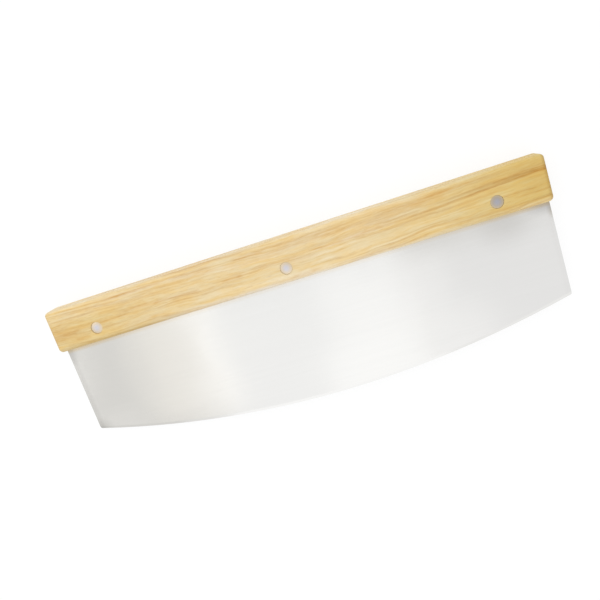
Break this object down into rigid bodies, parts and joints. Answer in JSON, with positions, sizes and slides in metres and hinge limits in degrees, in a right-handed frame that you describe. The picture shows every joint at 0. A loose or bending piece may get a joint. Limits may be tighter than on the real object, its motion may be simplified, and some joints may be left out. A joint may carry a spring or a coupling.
{
  "type": "rocking pizza knife",
  "caption": "Long rocking knife for cutting pizza: a straight wooden bar handle along the whole top, riveted over a wide steel blade with a curved cutting edge.",
  "frame": {"origin": "middle of the knife's outline as seen from the front, on the plane of the handle's back face: the knife lies flat on it", "axes": "+X along the handle, towards the right end when the front is seen with the cutting edge down; +Y from the cutting edge towards the palm edge; +Z through the thickness, from the back face to the front face, where the heads of the barrel halves of the rivets show"},
  "size_m": [0.35, 0.118, 0.02],
  "materials": {
    "wood": "sanded pale hardwood with a thin oil finish",
    "blade_steel": "satin stainless sheet, finely brushed along the blade",
    "rivet_metal": "plain turned metal, slightly dull"
  },
  "bodies": {
    "root": {"handle": "wood", "blade": "blade_steel", "rivet_barrel_left": "rivet_metal", "rivet_barrel_middle": "rivet_metal", "rivet_barrel_right": "rivet_metal", "rivet_pin_left": "rivet_metal", "rivet_pin_middle": "rivet_metal", "rivet_pin_right": "rivet_metal"}
  },
  "joints": []
}
